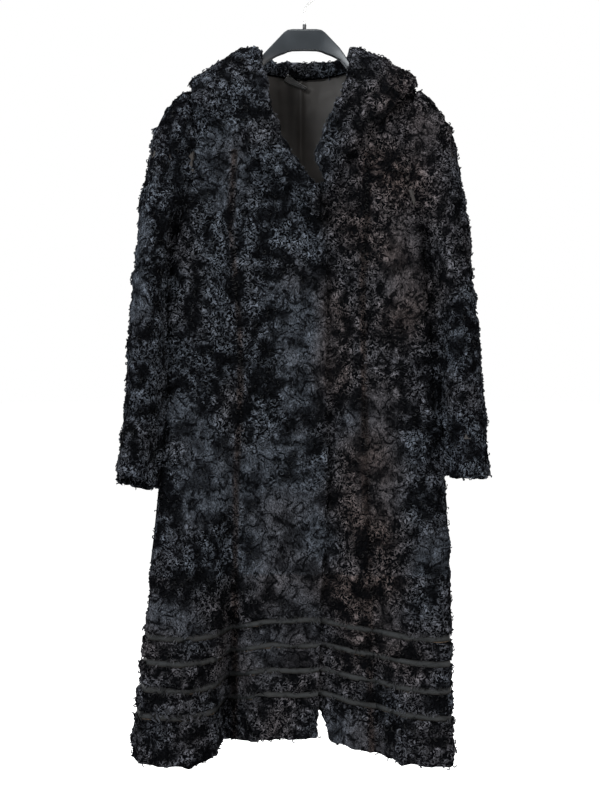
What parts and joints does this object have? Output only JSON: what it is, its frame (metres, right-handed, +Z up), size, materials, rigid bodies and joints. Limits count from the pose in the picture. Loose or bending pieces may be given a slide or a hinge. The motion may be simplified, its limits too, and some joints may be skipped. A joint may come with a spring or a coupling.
{
  "type": "shearling coat on a hanger",
  "caption": "Long black curly-lamb fur coat with a broad turned-down collar and leather tapes let in above the hem, hanging closed on a moulded hanger with a wire hook.",
  "frame": {"origin": "under the top of the hook's bend, where the rail carries it", "axes": "+Z up, the coat faces -Y, the wearer's left is at +X"},
  "size_m": [0.5968, 0.2656, 1.2802],
  "materials": {
    "curly_fur": "black curled lamb fur with a silky cool sheen and a warm brown undertone",
    "tape_leather": "smooth dark grey leather with a pale tan lower edge",
    "lining_satin": "warm dark grey-brown satin",
    "loop_satin": "folded dark satin",
    "hanger_plastic": "slate-black satin moulding",
    "hook_steel": "bright plated steel wire",
    "ferrule_plastic": "black moulding"
  },
  "bodies": {
    "root": {"right_front": "curly_fur", "right_side_front": "curly_fur", "left_front": "curly_fur", "left_side_front": "curly_fur", "back": "curly_fur", "right_front_tape_1": "tape_leather", "right_side_front_tape_1": "tape_leather", "left_front_tape_1": "tape_leather", "left_side_front_tape_1": "tape_leather", "back_tape_1": "tape_leather", "right_front_tape_2": "tape_leather", "right_side_front_tape_2": "tape_leather", "left_front_tape_2": "tape_leather", "left_side_front_tape_2": "tape_leather", "back_tape_2": "tape_leather", "right_front_tape_3": "tape_leather", "right_side_front_tape_3": "tape_leather", "left_front_tape_3": "tape_leather", "left_side_front_tape_3": "tape_leather", "back_tape_3": "tape_leather", "right_front_tape_4": "tape_leather", "right_side_front_tape_4": "tape_leather", "left_front_tape_4": "tape_leather", "left_side_front_tape_4": "tape_leather", "back_tape_4": "tape_leather", "right_sleeve": "curly_fur", "left_sleeve": "curly_fur", "right_collar": "curly_fur", "left_collar": "curly_fur", "back_lining": "lining_satin", "hanging_loop": "loop_satin", "hanger": "hanger_plastic", "hook": "hook_steel", "ferrule": "ferrule_plastic"}
  },
  "joints": []
}
